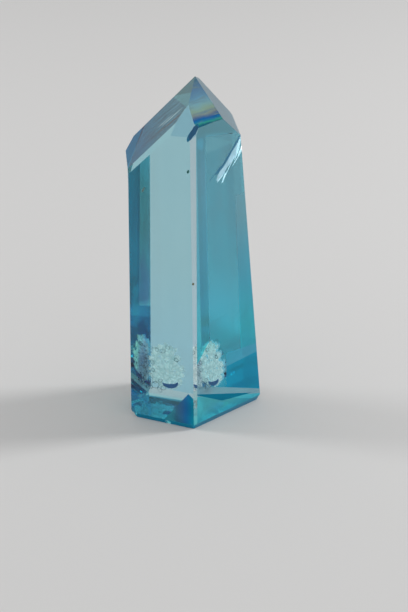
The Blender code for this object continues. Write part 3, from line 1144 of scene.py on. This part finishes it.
def build_floor(color):
    deselect()
    bpy.ops.mesh.primitive_plane_add(size=FLOOR_SIZE, location=(0, 0, -FLOOR_DROP))
    floor = bpy.context.object
    floor.name = "paper_floor"
    m, _, b = new_material("paper")
    fill(b, Base_Color=(*color, 1), Roughness=0.9, Specular_IOR_Level=0.1)
    floor.data.materials.append(m)


def build_light(room, share):
    """An even room and two soft windows, which show in no mirror and through no glass."""
    world = bpy.data.worlds.new("studio")
    bpy.context.scene.world = world
    world.use_nodes = True
    fill(world.node_tree.nodes["Background"], Color=(1, 1, 1, 1), Strength=room)
    for name, angle, height, size, power in LAMPS:
        light = bpy.data.lights.new(name, "AREA")
        light.shape = "DISK"
        light.size = size
        light.energy = power * share
        lamp = bpy.data.objects.new(name, light)
        bpy.context.scene.collection.objects.link(lamp)
        a, h = radians(angle), radians(height)
        way = Vector((sin(a) * cos(h), cos(a) * cos(h), sin(h)))
        lamp.location = way * LAMP_DISTANCE
        lamp.visible_transmission = False
        lamp.visible_glossy = False
        lamp.rotation_euler = (-way).to_track_quat("-Z", "Y").to_euler()


def build_camera():
    scene = bpy.context.scene
    view = bpy.data.cameras.new("view")
    view.lens = CAMERA_LENS
    view.sensor_width = CAMERA_FILM
    view.clip_start = CAMERA_NEAR
    camera = bpy.data.objects.new("view", view)
    scene.collection.objects.link(camera)
    camera.location = CAMERA_PLACE
    camera.rotation_euler = (radians(CAMERA_TILT), 0, 0)
    scene.camera = camera
    scene.view_settings.view_transform = "Standard"
    for key, value in BOUNCES.items():
        setattr(scene.cycles, key, value)


# ---------------- settings
def tint_setting(name, description, default):
    return FloatVectorProperty(
        name=name, description=description, default=default, subtype="COLOR", min=0, max=1,
    )


def depth_setting(name, description, default):
    return FloatProperty(
        name=name, description=description, default=default, min=0.0, precision=5,
        unit="LENGTH", subtype="DISTANCE",
    )


class StoneSettings(bpy.types.PropertyGroup):
    edge_round: depth_setting("Edge rounding", "Width of the worn edges", 0.1 * MM)
    refraction: FloatProperty(
        name="Refraction", description="Index of refraction of the stone", default=1.544, min=1.0, max=2.5,
    )
    body_color: tint_setting("Body colour", "Tint of the clear stone itself", (0.72, 0.9, 0.94))
    body_density: FloatProperty(
        name="Body density", description="How quickly the body colour builds up", default=10.0, min=0.0,
    )
    film_depth: depth_setting("Film depth", "How far the film lies under the polished surface", 0.03 * MM)
    film_color: tint_setting("Film colour", "Colour that the film lets through", (0.665, 0.865, 0.905))
    film_color_second: tint_setting("Film clouds", "Colour of the film's denser clouds", (0.64, 0.85, 0.895))


class GrowthSettings(bpy.types.PropertyGroup):
    veil_count: IntProperty(
        name="Veil scales", description="Number of scales in the milky veil", default=150, min=1,
    )
    veil_color: tint_setting("Veil colour", "Colour of the milky scales", (0.5, 0.55, 0.54))
    hair_color: tint_setting("Loop colour", "Colour of the healed loops", (0.03, 0.12, 0.15))
    # The hollow's colour is painted shade
    hollow_shade_color: tint_setting("Hollow colour", "Colour of the crescent hollow", (0.02, 0.12, 0.3))
    crack_color: tint_setting("Crack colour", "Colour of the crack's dark line", (0.01, 0.11, 0.24))
    haze_color: tint_setting("Crack haze", "Colour of the haze beside the crack", (0.6, 0.6, 0.7))


class StageSettings(bpy.types.PropertyGroup):
    paper_color: tint_setting("Paper", "Colour of the floor", (0.75, 0.745, 0.74))
    room_light: FloatProperty(
        name="Room light", description="Strength of the even light from all round", default=0.48, min=0.0,
    )
    lamp_strength: FloatProperty(
        name="Lamps", description="Strength of the two soft lamps, as a share", default=1.0, min=0.0, max=4.0,
        subtype="FACTOR",
    )


# ---------------- operators
class CRYSTAL_OT_stone(bpy.types.Operator):
    """Saw the clear point to its natural faces and lay its skins, heavier coating in places and painted sheen
    in others.
    """
    bl_idname = "crystal.stone"
    bl_label = "Quartz point"

    def execute(self, context):
        build_stone(context.scene.crystal_stone.edge_round)
        return {"FINISHED"}


class CRYSTAL_OT_film(bpy.types.Operator):
    """Lay the tinted film just under the surface of the point."""
    bl_idname = "crystal.film"
    bl_label = "Aura film"

    def execute(self, context):
        build_film(context.scene.crystal_stone.film_depth)
        return {"FINISHED"}


class CRYSTAL_OT_veil(bpy.types.Operator):
    """Scatter the milky scales of the veil."""
    bl_idname = "crystal.veil"
    bl_label = "Veil scales"

    def execute(self, context):
        build_veil(context.scene.crystal_growth.veil_count, SEEDS["veil"])
        return {"FINISHED"}


class CRYSTAL_OT_bubbles(bpy.types.Operator):
    """Set the bubbles of air around the veil."""
    bl_idname = "crystal.bubbles"
    bl_label = "Bubbles"

    def execute(self, context):
        build_bubbles(SEEDS["bubbles"])
        return {"FINISHED"}


class CRYSTAL_OT_loops(bpy.types.Operator):
    """Bend the healed loops around the veil and the crescent hollow below it."""
    bl_idname = "crystal.loops"
    bl_label = "Loops and hollow"

    def execute(self, context):
        build_loops(SEEDS["loops"])
        build_hollow(SEEDS["hollow"])
        return {"FINISHED"}


class CRYSTAL_OT_crack(bpy.types.Operator):
    """Open the healed crack below the right shoulder."""
    bl_idname = "crystal.crack"
    bl_label = "Healed crack"

    def execute(self, context):
        build_crack(SEEDS["crack"])
        return {"FINISHED"}


class CRYSTAL_OT_lines(bpy.types.Operator):
    """Draw the growth lines and the specks."""
    bl_idname = "crystal.lines"
    bl_label = "Lines and specks"

    def execute(self, context):
        build_lines(SEEDS["lines"])
        build_specks(SEEDS["specks"])
        return {"FINISHED"}


class CRYSTAL_OT_stage(bpy.types.Operator):
    """Lay the paper floor, the soft light and the camera."""
    bl_idname = "crystal.stage"
    bl_label = "Stage"

    def execute(self, context):
        stage = context.scene.crystal_stage
        build_floor(stage.paper_color)
        build_light(stage.room_light, stage.lamp_strength)
        build_camera()
        return {"FINISHED"}


OPERATORS = (
    CRYSTAL_OT_stone, CRYSTAL_OT_film, CRYSTAL_OT_veil, CRYSTAL_OT_bubbles,
    CRYSTAL_OT_loops, CRYSTAL_OT_crack, CRYSTAL_OT_lines, CRYSTAL_OT_stage,
)


class VIEW3D_PT_crystal(bpy.types.Panel):
    """The settings and the steps of the crystal."""
    bl_label = "Quartz point"
    bl_space_type = "VIEW_3D"
    bl_region_type = "UI"
    bl_category = "Crystal"

    def draw(self, context):
        for group in SETTINGS:
            settings = getattr(context.scene, group)
            box = self.layout.box()
            for key in settings.bl_rna.properties.keys():
                if key not in ("rna_type", "name"):
                    box.prop(settings, key)
        for operator in OPERATORS:
            self.layout.operator(operator.bl_idname)


SETTINGS = {"crystal_stone": StoneSettings, "crystal_growth": GrowthSettings, "crystal_stage": StageSettings}
CLASSES = (*SETTINGS.values(), *OPERATORS, VIEW3D_PT_crystal)


def register():
    for c in CLASSES:
        bpy.utils.register_class(c)
    for name, group in SETTINGS.items():
        setattr(bpy.types.Scene, name, PointerProperty(type=group))


def unregister():
    for name in SETTINGS:
        delattr(bpy.types.Scene, name)
    for c in reversed(CLASSES):
        bpy.utils.unregister_class(c)


def main():
    register()
    bpy.ops.crystal.stone()
    bpy.ops.crystal.film()
    bpy.ops.crystal.veil()
    bpy.ops.crystal.bubbles()
    bpy.ops.crystal.loops()
    bpy.ops.crystal.crack()
    bpy.ops.crystal.lines()
    bpy.ops.crystal.stage()


if __name__ == "__main__":
    main()
